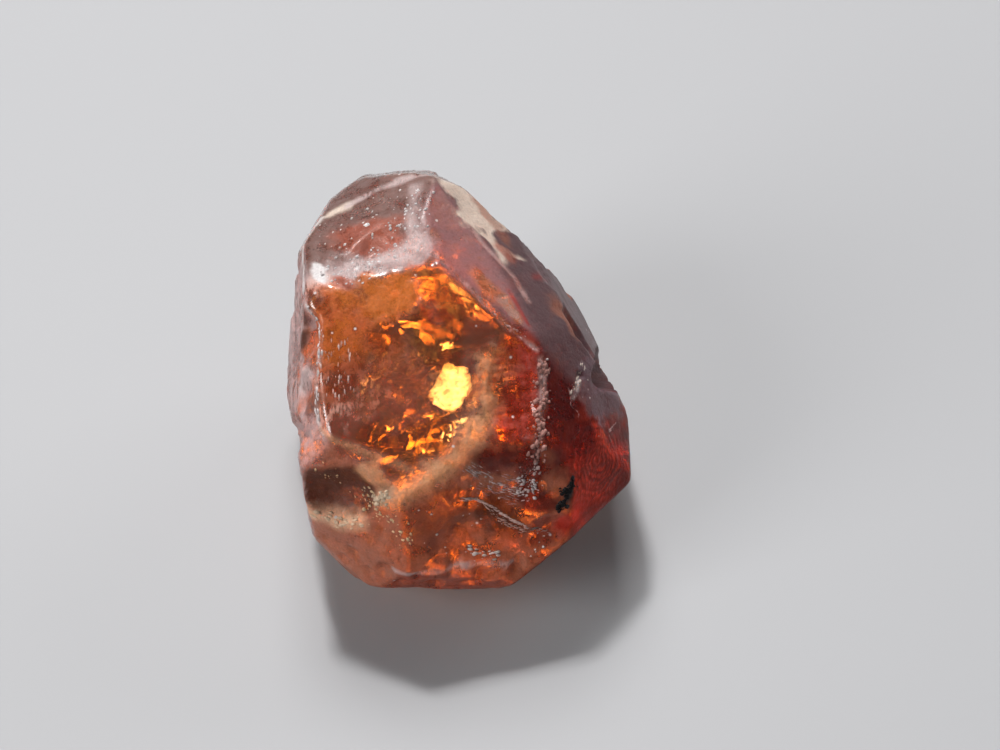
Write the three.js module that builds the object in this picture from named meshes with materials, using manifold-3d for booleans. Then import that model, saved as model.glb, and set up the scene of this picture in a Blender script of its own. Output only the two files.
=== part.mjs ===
// A rough zircon crystal, broken and water-worn, lying on its flattest break.
//
// One closed solid: a block is split by flat breaks and crystal faces, the edges between them are worn, and
// shell-shaped hollows, pits and growth rings are cut into what is left. Millimetres, +Z up.
// The origin is on the resting face, under the middle of the box that the crystal fills. -Y is the side of its
// large clear window.
import * as THREE from "three";
import { mergeVertices } from "three/addons/utils/BufferGeometryUtils.js";
import Module from "manifold-3d";

const wasm = await Module();
wasm.setup();

// Driving dimensions
const restHeight = 3.2; // the crystal's middle above the surface that it lies on
const middleOffset = [0.1, 0.2]; // the crystal's middle from the origin, along X and Y
const blockSize = 14; // the uncut block, larger than the crystal every way
const splitSize = 30; // what is split away past each face, larger than the block
const nearness = 0.12; // how near, in millimetres, a face has to be to turn a hollow towards itself

// Flat faces and breaks: compass in degrees from +X towards +Y, tilt in degrees above the horizon,
// and reach in millimetres from the crystal's middle to the face.
const faces = {
  frontWindow: [-90, 54, 3.6],
  longBand: [-19, 68, 3.85],
  duskFace: [3, 53, 3.65],
  creamFace: [13, 51, 3.62],
  upperRidge: [-122, 76, 4.3],
  upperLeft: [171, 75, 4.67],
  upperRim: [143, 56, 5.2],
  leftShoulder: [-143, 33, 4.7],
  lowerLeft: [-112, 26, 4.68],
  lowerFront: [-74, 29, 4.08],
  emberFace: [-70, 50, 3.76],
  garnetFace: [-42, 39, 3.93],
  mauveFace: [-15, 42, 3.76],
  rippleFace: [-40, 21, 4.35],
  rightCheek: [-11, 28, 3.82],
  frontRim: [-89, -18, 5.3],
  leftToe: [-122, 2, 5.2],
  leftFlank: [-176, 8, 3.96],
  leftWall: [-169, -3, 4.1],
  leftHeel: [-136, -22, 5.15],
  frontKeel: [-86, -62, 4.05],
  frontUnder: [-93, -47, 4.62],
  frontRightKeel: [-46, -46, 4.25],
  rightKeel: [-40, -37, 4.22],
  rightTip: [3, -4, 4.0],
  rightBrow: [15, 13, 3.58],
  rightBackBrow: [19, 24, 3.26],
  backBrow: [40, 30, 3.56],
  crownRight: [59, 44, 4.45],
  crown: [97, 48, 5.12],
  crownLeft: [137, 38, 5.35],
  leftCrown: [161, 24, 4.85],
  backWall: [88, 5, 4.9],
  backRight: [40, -8, 4.5],
  backLeft: [145, 0, 4.6],
  backUnder: [100, -35, 4.6],
  leftUnder: [-170, -38, 4.1],
  rightUnder: [-20, -38, 4.1],
  restFace: [0, -90, restHeight],
};

// Edges that water has worn, with how many millimetres are gone from the sharp edge.
const wornEdges = [
  ["upperRidge", "frontWindow", 0.05],
  ["upperRidge", "upperLeft", 0.06],
  ["upperRidge", "leftShoulder", 0.08],
  ["upperLeft", "longBand", 0.05],
  ["frontWindow", "leftShoulder", 0.07],
  ["frontWindow", "lowerLeft", 0.05],
  ["frontWindow", "lowerFront", 0.05],
  ["lowerLeft", "lowerFront", 0.05],
  ["lowerLeft", "leftToe", 0.05],
  ["leftShoulder", "leftWall", 0.12],
  ["leftFlank", "leftCrown", 0.1],
  ["garnetFace", "rippleFace", 0.03],
  ["rippleFace", "lowerFront", 0.05],
  ["rippleFace", "rightKeel", 0.1],
  ["lowerFront", "frontRim", 0.06],
  ["frontRim", "frontKeel", 0.1],
  ["leftWall", "leftUnder", 0.12],
  ["rightTip", "rightUnder", 0.12],
  ["backWall", "crown", 0.12],
  ["backWall", "backLeft", 0.1],
  ["backWall", "backUnder", 0.12],
  ["backRight", "backWall", 0.1],
  ["backLeft", "leftWall", 0.12],
];

// Shell-shaped hollows: compass and tilt of the middle, then half the length, half the width and the depth of
// what is broken out, and how far its length turns from level, in degrees.
const hollows = {
  leftChip: [-158, 40, 1.25, 0.55, 0.26, 78],
  leftLowerChip: [-147, 27, 0.8, 0.5, 0.2, 50],
  leftNotch: [-146, 12, 0.85, 0.6, 0.24, 65],
  emberHollow: [-63, 40, 1.3, 0.62, 0.2, 84],
  upperHollow: [166, 68, 0.85, 0.5, 0.14, -75],
  ridgeHollow: [-140, 62, 0.75, 0.4, 0.1, 60],
  toeHollow: [-123, 9, 1.0, 0.7, 0.3, 25],
  cheekNotch: [-4, 33, 0.95, 0.6, 0.34, 70],
  frontShell: [-80, 12, 1.15, 0.6, 0.13, -18],
  frontLowerShell: [-87, 0, 0.9, 0.55, 0.12, 24],
  frontChip: [-64, -3, 0.5, 0.36, 0.14, 10],
  creamShell: [32, 48, 1.1, 0.8, 0.12, 40],
  browShell: [22, 2, 1.1, 0.7, 0.16, 70],
  crownShell: [84, 34, 1.6, 1.0, 0.2, 10],
  backShell: [116, 6, 2.1, 1.5, 0.42, 20],
  backLowerShell: [70, -22, 1.5, 0.9, 0.24, -30],
  leftShell: [178, 18, 1.3, 0.9, 0.2, 60],
  leftUnderShell: [178, -26, 1.2, 0.8, 0.26, -20],
  keelShell: [-68, -34, 1.4, 0.9, 0.22, 15],
};
const shellShare = 0.25; // the share of its ellipsoid's half-depth that a hollow bites into the crystal
const shellFacets = [18, 13]; // round a hollow's ellipsoid, and from its deepest point to the far one
const chipFacets = [7, 9]; // the same for a chip or a pit

// Rows of small chips along the frosted ridges, evenly spaced from one compass and tilt to another.
const chipRows = [
  { from: [-42, 47], to: [-60, 20], count: 9, size: 0.2 },
  { from: [182, 53], to: [171, 78], count: 8, size: 0.28 },
  { from: [-156, 44], to: [-140, 24], count: 7, size: 0.22 },
  { from: [-81, 19], to: [-62, 8], count: 5, size: 0.2 },
  { from: [-120, -9], to: [-74, -11], count: 12, size: 0.26 },
  { from: [-31, 34], to: [-24, 22], count: 4, size: 0.16 },
  { from: [58, 24], to: [128, 22], count: 9, size: 0.3 },
  { from: [166, -30], to: [162, 30], count: 8, size: 0.28 },
];
const chipLengths = [0.7, 1.3]; // the shortest and the longest half-length in a row, as shares of its size
const chipWidth = 0.65; // a chip's or a pit's half-width as a share of its half-length
const chipDepth = 0.3; // and its depth
const chipSwing = 2; // how far, in degrees, every other chip stands to each side of its row

// Pits on the two frosted upper faces, placed in a spiral about the middle of the patch.
const pits = { compass: -168, tilt: 67, count: 13, spread: 17, size: 0.13 };
const spiralTurn = 137.5; // degrees from one pit to the next
const wander = 0.618; // the golden section, for sizes that don't repeat

// Growth rings on the ripple face: round grooves about one point.
const growthRings = { compass: -42, tilt: 8, radii: [0.28, 0.52, 0.76], groove: 0.045, sink: 0.025 };
const ringFacets = [6, 24]; // round the groove, and along it

const degrees = Math.PI / 180;
const up = new THREE.Vector3(0, 0, 1);
const middle = new THREE.Vector3(...middleOffset, restHeight);

function direction(compass, tilt) {
  const level = Math.cos(tilt * degrees);
  return new THREE.Vector3(
    level * Math.cos(compass * degrees),
    level * Math.sin(compass * degrees),
    Math.sin(tilt * degrees),
  );
}

// A frame at a point of the surface: its third axis points outwards, and its first is level before the turn.
function surfaceFrame(outwards, turn, position) {
  const sideways = up.clone().cross(outwards);
  const level = sideways.length() > 0.001 ? sideways.normalize() : new THREE.Vector3(1, 0, 0);
  const rising = outwards.clone().cross(level);
  const matrix = new THREE.Matrix4().makeBasis(level, rising, outwards).setPosition(position);
  return matrix.multiply(new THREE.Matrix4().makeRotationZ(turn * degrees));
}

function solidFrom(geometry) {
  const bare = geometry.clone();
  bare.deleteAttribute("normal");
  bare.deleteAttribute("uv");
  const merged = mergeVertices(bare);
  return new wasm.Manifold(
    new wasm.Mesh({
      numProp: 3,
      vertProperties: new Float32Array(merged.attributes.position.array),
      triVerts: new Uint32Array(merged.index.array),
    }),
  );
}

function geometryFrom(solid) {
  const mesh = solid.getMesh();
  const geometry = new THREE.BufferGeometry();
  geometry.setAttribute("position", new THREE.BufferAttribute(mesh.vertProperties, 3));
  geometry.setIndex(new THREE.BufferAttribute(mesh.triVerts, 1));
  const faceted = geometry.toNonIndexed(); // so that each facet has its own normals
  faceted.computeVertexNormals();
  return faceted;
}

// Everything past a flat face: a large box whose near side is the face.
function pastFace(outwards, reach) {
  const centre = outwards.clone().multiplyScalar(reach + splitSize / 2).add(middle);
  const box = new THREE.BoxGeometry(splitSize, splitSize, splitSize);
  return solidFrom(box.applyMatrix4(surfaceFrame(outwards, 0, centre)));
}

// A worn edge is the flat halfway between two faces, drawn in by the wear.
function pastWornEdge([first, second, wear]) {
  const [a, b] = [faces[first], faces[second]];
  const sum = direction(a[0], a[1]).add(direction(b[0], b[1]));
  const reach = (a[2] + b[2]) / sum.length() - wear;
  return pastFace(sum.normalize(), reach);
}

// How far the flat faces are from the middle in one direction.
function flatReach(outwards) {
  const reaches = Object.values(faces).map(([compass, tilt, reach]) => {
    const share = outwards.dot(direction(compass, tilt));
    return share > 0 ? reach / share : splitSize;
  });
  return Math.min(...reaches);
}

// The way out of the crystal at a point of its surface: the mean of the faces that nearly reach it.
function outwardsAt(through) {
  const nearest = flatReach(through);
  const mean = new THREE.Vector3();
  for (const [compass, tilt, reach] of Object.values(faces)) {
    const normal = direction(compass, tilt);
    const share = through.dot(normal);
    if (share > 0) mean.addScaledVector(normal, Math.exp((nearest - reach / share) / nearness));
  }
  return mean.normalize();
}

// A hollow is broken out by an ellipsoid that bites into the flat faces, where its middle comes through them.
function shellHollow([compass, tilt, halfLength, halfWidth, depth, turn], facets) {
  const rim = Math.sqrt(1 - (1 - shellShare) ** 2); // the rim's radius on a ball of radius 1
  const halfDepth = depth / shellShare;
  const through = direction(compass, tilt);
  const outwards = outwardsAt(through);
  const centre = through.clone().multiplyScalar(flatReach(through)).add(middle);
  centre.addScaledVector(outwards, halfDepth - depth);
  const ball = new THREE.SphereGeometry(1, ...facets);
  ball.rotateX(90 * degrees); // the ball's poles point in and out
  ball.scale(halfLength / rim, halfWidth / rim, halfDepth);
  return solidFrom(ball.applyMatrix4(surfaceFrame(outwards, turn, centre)));
}

// The i-th chip or pit of a row: longer than it is wide, in sizes and turns that don't repeat.
function chip(i, compass, tilt, size) {
  const halfLength = size * THREE.MathUtils.lerp(...chipLengths, (i * wander) % 1);
  const halfSizes = [halfLength, halfLength * chipWidth];
  return shellHollow([compass, tilt, ...halfSizes, halfLength * chipDepth, i * spiralTurn], chipFacets);
}

function chipRowSolids({ from, to, count, size }) {
  return Array.from({ length: count }, (_, i) => {
    const share = i / (count - 1);
    const compass = THREE.MathUtils.lerp(from[0], to[0], share);
    const tilt = THREE.MathUtils.lerp(from[1], to[1], share);
    return chip(i, compass, tilt + (i % 2 ? chipSwing : -chipSwing), size);
  });
}

function pitSolids() {
  const { compass, tilt, count, spread, size } = pits;
  return Array.from({ length: count }, (_, i) => {
    const away = spread * Math.sqrt((i + 0.5) / count);
    const round = i * spiralTurn * degrees;
    const sideways = (away * Math.cos(round)) / Math.cos(tilt * degrees);
    return chip(i, compass + sideways, tilt + away * Math.sin(round), size);
  });
}

// Each growth ring is a groove of round section, sunk in the plane of the ripple face.
function growthRingSolids() {
  const [faceCompass, faceTilt, faceReach] = faces.rippleFace;
  const normal = direction(faceCompass, faceTilt);
  const through = direction(growthRings.compass, growthRings.tilt);
  const centre = through.multiplyScalar(faceReach / through.dot(normal)).add(middle);
  centre.addScaledVector(normal, growthRings.groove - growthRings.sink);
  return growthRings.radii.map((radius) => {
    const ring = new THREE.TorusGeometry(radius, growthRings.groove, ...ringFacets);
    return solidFrom(ring.applyMatrix4(surfaceFrame(normal, 0, centre)));
  });
}

function cutCrystal() {
  const block = new THREE.BoxGeometry(blockSize, blockSize, blockSize).translate(...middle.toArray());
  let crystal = solidFrom(block);
  const cuts = [
    ...Object.values(faces).map(([compass, tilt, reach]) => pastFace(direction(compass, tilt), reach)),
    ...wornEdges.map(pastWornEdge),
    ...Object.values(hollows).map((hollow) => shellHollow(hollow, shellFacets)),
    ...chipRows.flatMap(chipRowSolids),
    ...pitSolids(),
    ...growthRingSolids(),
  ];
  for (const cut of cuts) crystal = crystal.subtract(cut);
  return crystal;
}

const zircon = new THREE.Mesh(
  geometryFrom(cutCrystal()),
  new THREE.MeshStandardMaterial({
    color: 0x8f2a12,
    roughness: 0.25,
    metalness: 0,
    transparent: true,
    opacity: 0.85,
    flatShading: true,
  }),
);
zircon.name = "zircon_crystal";

const part = new THREE.Group();
part.add(zircon);

export default part;
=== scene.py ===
from math import cos, pi, radians, sin

import bpy
import numpy as np
from mathutils import Matrix, Vector


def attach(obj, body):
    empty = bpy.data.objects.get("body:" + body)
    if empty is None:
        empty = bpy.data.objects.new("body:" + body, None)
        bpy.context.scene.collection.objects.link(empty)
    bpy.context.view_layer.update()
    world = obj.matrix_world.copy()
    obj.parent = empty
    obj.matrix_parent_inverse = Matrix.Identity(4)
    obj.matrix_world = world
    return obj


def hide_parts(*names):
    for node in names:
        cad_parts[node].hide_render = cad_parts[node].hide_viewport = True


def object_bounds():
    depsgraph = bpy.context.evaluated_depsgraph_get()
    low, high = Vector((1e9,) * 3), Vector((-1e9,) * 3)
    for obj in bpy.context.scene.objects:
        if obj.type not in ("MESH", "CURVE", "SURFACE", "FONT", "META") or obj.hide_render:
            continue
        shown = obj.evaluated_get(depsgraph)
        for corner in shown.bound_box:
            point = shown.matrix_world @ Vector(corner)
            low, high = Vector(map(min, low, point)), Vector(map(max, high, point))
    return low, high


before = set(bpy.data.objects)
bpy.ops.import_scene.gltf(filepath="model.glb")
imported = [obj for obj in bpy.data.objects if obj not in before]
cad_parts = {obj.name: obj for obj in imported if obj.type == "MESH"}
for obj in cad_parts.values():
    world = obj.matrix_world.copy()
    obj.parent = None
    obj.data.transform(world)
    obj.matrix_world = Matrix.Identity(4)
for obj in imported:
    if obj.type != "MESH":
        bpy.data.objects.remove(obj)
cadLow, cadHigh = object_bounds()

# Its skin's colour also holds painted light: sheen on glossy faces, highlights on rims and edges, glints and
# glow.
# A rough zircon crystal: orange-red and see-through, with a worn, frosted skin and feathery cracks inside.
# It is worked out in millimetres from the crystal's middle and put in place in metres.
mm = 0.001
far = 99.0  # stands for a face or a hollow that a ray doesn't meet

crystal = {
    "middle": (0.1, 0.2, 3.2),  # the point that all the faces are measured from
    "cells": 124,  # grid squares along each side of the six patches
    "edgeWear": 0.03,  # how round the edges are
    "rimWear": 0.02,  # and the rims of the hollows
    "edgeStray": 0.035,  # how far the edges stray from their true lines
    "rimStray": 0.11,  # and the rims
    "straySize": 0.8,  # over what length they stray
    "nearness": 0.12,  # how near a face has to be to turn a hollow towards itself
    "shellShare": 0.25,  # share of its ellipsoid's half-depth that a hollow takes up
    "ribDepth": 0.014,
    "ribStep": 0.19,
    "waveSize": 0.9,
    "breakSize": 1.25,
    "breakSharpness": 34,
    "grainSize": 0.2,
    "patchSize": 0.9,  # size of the places where the skin is thicker or thinner
    "spare": 0.014,  # least depth that is worn off everywhere
    "skinAbove": 0.012,  # how far the skin lies outside the clear stone
    "seed": 7,
}

# flat faces: compass from +X towards +Y and tilt above level of the way each looks, reach and finish
faces = {
    "frontWindow": (-90, 54, 3.6, "window"),
    "longBand": (-19, 68, 3.85, "satinSheen"),
    "duskFace": (3, 53, 3.65, "dusk"),
    "creamFace": (13, 51, 3.62, "dusk"),
    "upperRidge": (-122, 76, 4.3, "veined"),
    "upperLeft": (171, 75, 4.67, "mauve"),
    "upperRim": (143, 56, 5.2, "mauve"),
    "leftShoulder": (-143, 33, 4.7, "pink"),
    "lowerLeft": (-112, 26, 4.68, "brown"),
    "lowerFront": (-74, 29, 4.08, "brown"),
    "emberFace": (-70, 50, 3.76, "ember"),
    "garnetFace": (-42, 39, 3.93, "garnet"),
    "mauveFace": (-15, 42, 3.76, "dusk"),
    "rippleFace": (-40, 21, 4.35, "ripple"),
    "rightCheek": (-11, 28, 3.82, "dusk"),
    "frontRim": (-89, -18, 5.3, "rust"),
    "leftToe": (-122, 2, 5.2, "rose"),
    "leftFlank": (-176, 8, 3.96, "pink"),
    "leftWall": (-169, -3, 4.1, "pink"),
    "leftHeel": (-136, -22, 5.15, "rose"),
    "frontKeel": (-86, -62, 4.05, "broken"),
    "frontUnder": (-93, -47, 4.62, "rust"),
    "frontRightKeel": (-46, -46, 4.25, "garnet"),
    "rightKeel": (-40, -37, 4.22, "garnet"),
    "rightTip": (3, -4, 4, "garnet"),
    "rightBrow": (15, 13, 3.58, "dusk"),
    "rightBackBrow": (19, 24, 3.26, "dusk"),
    "backBrow": (40, 30, 3.56, "broken"),
    "crownRight": (59, 44, 4.45, "crown"),
    "crown": (97, 48, 5.12, "crown"),
    "crownLeft": (137, 38, 5.35, "crown"),
    "leftCrown": (161, 24, 4.85, "crown"),
    "backWall": (88, 5, 4.9, "broken"),
    "backRight": (40, -8, 4.5, "broken"),
    "backLeft": (145, 0, 4.6, "broken"),
    "backUnder": (100, -35, 4.6, "broken"),
    "leftUnder": (-170, -38, 4.1, "broken"),
    "rightUnder": (-20, -38, 4.1, "broken"),
    "restFace": (0, -90, 3.2, "broken"),
}

# hollows broken out of it: compass, tilt, half-length, half-width, depth, turn of the length, finish
hollows = {
    "leftChip": (-158, 40, 1.25, 0.55, 0.26, 78, "pink"),
    "leftLowerChip": (-147, 27, 0.8, 0.5, 0.2, 50, "pink"),
    "leftNotch": (-146, 12, 0.85, 0.6, 0.24, 65, "pink"),
    "emberHollow": (-63, 40, 1.3, 0.62, 0.2, 84, "ember"),
    "upperHollow": (166, 68, 0.85, 0.5, 0.14, -75, "mauve"),
    "toeHollow": (-123, 9, 1, 0.7, 0.3, 25, "umber"),
    "cheekNotch": (-4, 33, 0.95, 0.6, 0.34, 70, "dusk"),
    "frontShell": (-80, 12, 1.15, 0.6, 0.13, -18, "brown"),
    "frontLowerShell": (-87, 0, 0.9, 0.55, 0.12, 24, "brown"),
    "frontChip": (-64, -3, 0.5, 0.36, 0.14, 10, "rust"),
    "creamShell": (32, 48, 1.1, 0.8, 0.12, 40, "dusk"),
    "browShell": (6.5, 0, 3.2, 0.52, 0.78, 132, "dusk"),
    "duskShell": (49, 2, 0.9, 0.4, 0.3, 121, "rose"),
    "crownShell": (84, 34, 1.6, 1, 0.2, 10, "crown"),
    "backShell": (116, 6, 2.1, 1.5, 0.42, 20, "broken"),
    "backLowerShell": (70, -22, 1.5, 0.9, 0.24, -30, "broken"),
    "leftShell": (178, 18, 1.3, 0.9, 0.2, 60, "pink"),
    "leftUnderShell": (-162, -6, 1.8, 0.65, 0.45, 49, "pink"),
    "keelShell": (-68, -34, 1.4, 0.9, 0.22, 15, "broken"),
}

# rows of small chips along the worn edges: from and to in compass and tilt, how many, and half-length
chipRows = [
    ((182, 50), (178, 66), 4, 0.24),
    ((-156, 44), (-138, 20), 7, 0.24),
    ((-81, 19), (-62, 8), 5, 0.18),
    ((-120, -9), (-74, -11), 12, 0.24),
    ((-31, 34), (-24, 22), 4, 0.16),
    ((58, 24), (128, 22), 9, 0.3),
    ((166, -30), (162, 30), 8, 0.28),
]
# a patch of pits, then the chips' shapes, with width and depth as shares of the length
pits = {"compass": -168, "tilt": 67, "count": 13, "spread": 17, "size": 0.11}
chips = {
    "shortest": 0.7,  # shares of the half-length of its row
    "longest": 1.3,
    "width": 0.65,
    "depth": 0.3,
    "swing": 2,  # degrees to each side of the row
    "turn": 137.5,  # from one chip to the next
    "wander": 0.618,  # and how their lengths change
}

# kinds of surface: the clear stone's tint and roughness, the depth of its waves, flat breaks and grains,
# then the share of it that the skin hides, how patchy that is, and the skin's colour, which on some is
# painted light
finishes = {
    "window": ((0.95, 0.47, 0.17), 0.02, 0.012, 0, 0, 0, 0, (0.6, 0.3, 0.25)),
    # painted reflection: this mauve-pink skin colour partly stands in for the sky's sheen on the band, over
    # the stone's red
    "satinSheen": ((0.85, 0.36, 0.24), 0.14, 0.008, 0, 0, 0.62, 0.15, (0.43, 0.205, 0.215)),
    # painted reflection: this mauve-grey skin colour partly stands in for the sky's sheen on the right-hand
    # faces
    "dusk": ((0.42, 0.1, 0.1), 0.2, 0.015, 0.02, 0, 0.8, 0.12, (0.155, 0.088, 0.096)),
    "garnet": ((0.5, 0.04, 0.025), 0.05, 0.014, 0.015, 0, 0.72, 0.25, (0.1, 0.007, 0.005)),
    "ember": ((0.95, 0.2, 0.05), 0.04, 0.02, 0.02, 0, 0.5, 0.5, (0.5, 0.035, 0.008)),
    "ripple": ((0.5, 0.05, 0.02), 0.06, 0.012, 0, 0, 0.94, 0.05, (0.24, 0.022, 0.01)),
    "cream": ((0.9, 0.62, 0.36), 0.4, 0.03, 0.04, 0.01, 0.92, 0.2, (1, 0.82, 0.68)),
    # painted highlight: the pale skin on the toe's rim and at the foot of the arc
    "sandHighlight": ((0.9, 0.6, 0.34), 0.3, 0.03, 0.03, 0.01, 0.95, 0.3, (1, 0.62, 0.38)),
    # partly painted reflection: the mauve in this skin colour stands in for the sky's sheen, over a real
    # brown
    "mauve": ((0.62, 0.28, 0.18), 0.28, 0.035, 0.02, 0.004, 0.6, 0.45, (0.24, 0.12, 0.095)),
    "frost": ((0.7, 0.4, 0.32), 0.45, 0.05, 0.03, 0.03, 0.74, 0.9, (0.74, 0.56, 0.54)),
    "crust": ((0.7, 0.3, 0.25), 0.4, 0.02, 0.02, 0.07, 0.6, 1, (0.72, 0.42, 0.38)),
    "white": ((0.9, 0.8, 0.75), 0.3, 0.02, 0.03, 0.01, 1, 0.6, (0.95, 0.91, 0.9)),
    "pink": ((0.85, 0.55, 0.48), 0.35, 0.05, 0.1, 0.02, 0.66, 0.7, (0.62, 0.4, 0.38)),
    "clear": ((1, 0.82, 0.6), 0.02, 0.004, 0, 0, 0, 0, (0.6, 0.3, 0.25)),
    "veil": ((0.95, 0.48, 0.22), 0.06, 0.012, 0, 0, 0.34, 0.9, (0.88, 0.4, 0.28)),
    "arc": ((1, 0.6, 0.3), 0.06, 0.01, 0, 0, 0.72, 0.45, (1, 0.52, 0.25)),
    # painted glow: this orange skin stands in for light shining out through the stone
    "glow": ((1, 0.45, 0.15), 0.05, 0.01, 0, 0, 0.35, 0.3, (0.9, 0.25, 0.08)),
    "haze": ((0.98, 0.4, 0.12), 0.04, 0.012, 0, 0, 0.5, 0.4, (0.78, 0.17, 0.035)),
    "flame": ((0.9, 0.08, 0.03), 0.06, 0.012, 0, 0, 0.6, 0.2, (0.55, 0.03, 0.012)),
    "brown": ((0.7, 0.25, 0.09), 0.1, 0.03, 0.035, 0.002, 0.74, 0.4, (0.58, 0.18, 0.085)),
    "rose": ((0.6, 0.24, 0.15), 0.2, 0.04, 0.03, 0.002, 0.8, 0.3, (0.52, 0.185, 0.1)),
    "umber": ((0.4, 0.16, 0.07), 0.2, 0.03, 0.03, 0.004, 0.9, 0.2, (0.13, 0.038, 0.016)),
    "rust": ((0.7, 0.2, 0.07), 0.14, 0.04, 0.04, 0.004, 0.72, 0.4, (0.46, 0.105, 0.05)),
    "amber": ((0.98, 0.46, 0.13), 0.04, 0.01, 0, 0, 0.62, 0.3, (1, 0.28, 0.06)),
    "mahogany": ((0.8, 0.22, 0.06), 0.04, 0.012, 0, 0, 0.45, 0.5, (0.32, 0.05, 0.014)),
    "veined": ((0.65, 0.33, 0.25), 0.35, 0.04, 0.03, 0.02, 0.8, 0.35, (0.4, 0.25, 0.235)),
    # painted reflection: this mauve-grey skin colour partly stands in for the sky's sheen on the cheek
    "cheekSheen": ((0.42, 0.1, 0.1), 0.2, 0.012, 0.01, 0, 0.96, 0.1, (0.19, 0.112, 0.13)),
    "maroon": ((0.3, 0.03, 0.02), 0.06, 0.012, 0, 0, 1, 0, (0.12, 0.013, 0.009)),
    "black": ((0.1, 0.03, 0.02), 0.4, 0.02, 0.03, 0.02, 1, 0.5, (0.008, 0.007, 0.007)),
    "broken": ((0.92, 0.56, 0.28), 0.08, 0.03, 0.16, 0, 0.35, 0.8, (0.32, 0.11, 0.045)),
    "crown": ((0.95, 0.66, 0.4), 0.05, 0.02, 0.035, 0.002, 0.2, 0.8, (0.4, 0.22, 0.17)),
}

# patches of another finish: compass, tilt, half-length, half-width, turn, strength and finish
patches = {
    "windowHaze": (-150, 48, 1.5, 0.9, 85, 1.2, "haze"),
    "amberTop": (-152, 65, 0.9, 0.5, 60, 0.9, "amber"),
    "windowGlow": (-122, 44, 1, 0.9, 0, 0.55, "haze"),
    "coreClear": (-90, 45, 0.55, 0.5, 0, 1.5, "clear"),
    "midDark": (-133, 57, 0.5, 0.3, 60, 0.5, "mahogany"),
    "sideDark": (-68, 63, 0.4, 0.36, 0, 0.6, "mahogany"),
    "leftDark": (-134, 42, 0.6, 0.35, 80, 0.5, "mahogany"),
    "creamTop": (77, 64, 0.84, 0.56, -18, 3, "cream"),
    "creamBlotch": (35, 68, 0.3, 0.2, 20, 0.8, "rust"),
    "lobeTip": (41, 52, 0.8, 0.27, 69, 3, "dusk"),
    "creamShade": (75, 58, 0.6, 0.25, -30, 0.7, "rose"),
    "ridgeHole": (-169.5, 57, 0.3, 0.16, 30, 1.2, "rust"),
    # painted highlight: a white glint
    "whiteGlint": (-177, 52, 0.25, 0.16, 5, 3, "white"),
    "blackSpeck": (-55.5, 5, 0.3, 0.1, 52, 1, "black"),
    "leftNook": (-163, 36, 0.35, 0.2, 80, 1, "umber"),
    "leftHole": (-165, 42, 0.2, 0.15, 80, 0.9, "umber"),
    "leftFoot": (-141, 27, 0.35, 0.2, 70, 0.7, "umber"),
    # partly frost, partly a painted soft highlight on the left shoulder
    "leftPale": (-150, 31, 0.55, 0.26, 75, 1, "frost"),
    "lowGarnet": (-72, 21, 1.1, 0.5, -20, 0.9, "garnet"),
    "lowHollow": (-76, 3, 0.6, 0.35, -20, 0.9, "umber"),
    "frontDark": (-66, 6.5, 0.5, 0.35, -30, 0.9, "maroon"),
    "toeBrown": (-124, 11, 0.9, 0.5, 30, 1, "umber"),
    "frontBrown": (-95, 5, 1.2, 0.5, 0, 0.5, "umber"),
    "mauveHollow": (160, 64, 1, 0.45, -70, 0.9, "rust"),
    "lowCheek": (-29, -2, 1.4, 1.05, 90, 3, "ripple"),
    "cheekFacet": (-22, 19, 0.85, 0.6, 109, 3, "cheekSheen"),
    "rightDark": (-28, 2, 0.75, 0.4, 90, 2, "maroon"),
    "lobeRed": (18, 55, 0.3, 0.15, -60, 0.5, "flame"),
    "lobeBrown": (-6, 45, 0.7, 0.4, 80, 0.7, "rose"),
    "leftStreak": (-179, 23, 0.3, 0.12, 80, 0.9, "umber"),
    "redLow": (-58, -2, 0.5, 0.22, 30, 1, "flame"),
    "palePatch": (-116, 17, 0.34, 0.26, 0, 0.7, "arc"),
    # painted glow along the long band
    "bandGlow": (-32, 79, 0.45, 0.2, 75, 0.9, "glow"),
    "bandLowGlow": (-36, 66, 0.5, 0.14, 70, 1, "glow"),
    "hiddenBrown": (113, -34, 1, 0.6, 0, 0.7, "umber"),
    "hiddenRed": (82, -34, 0.7, 0.5, 60, 0.8, "rust"),
}

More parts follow.
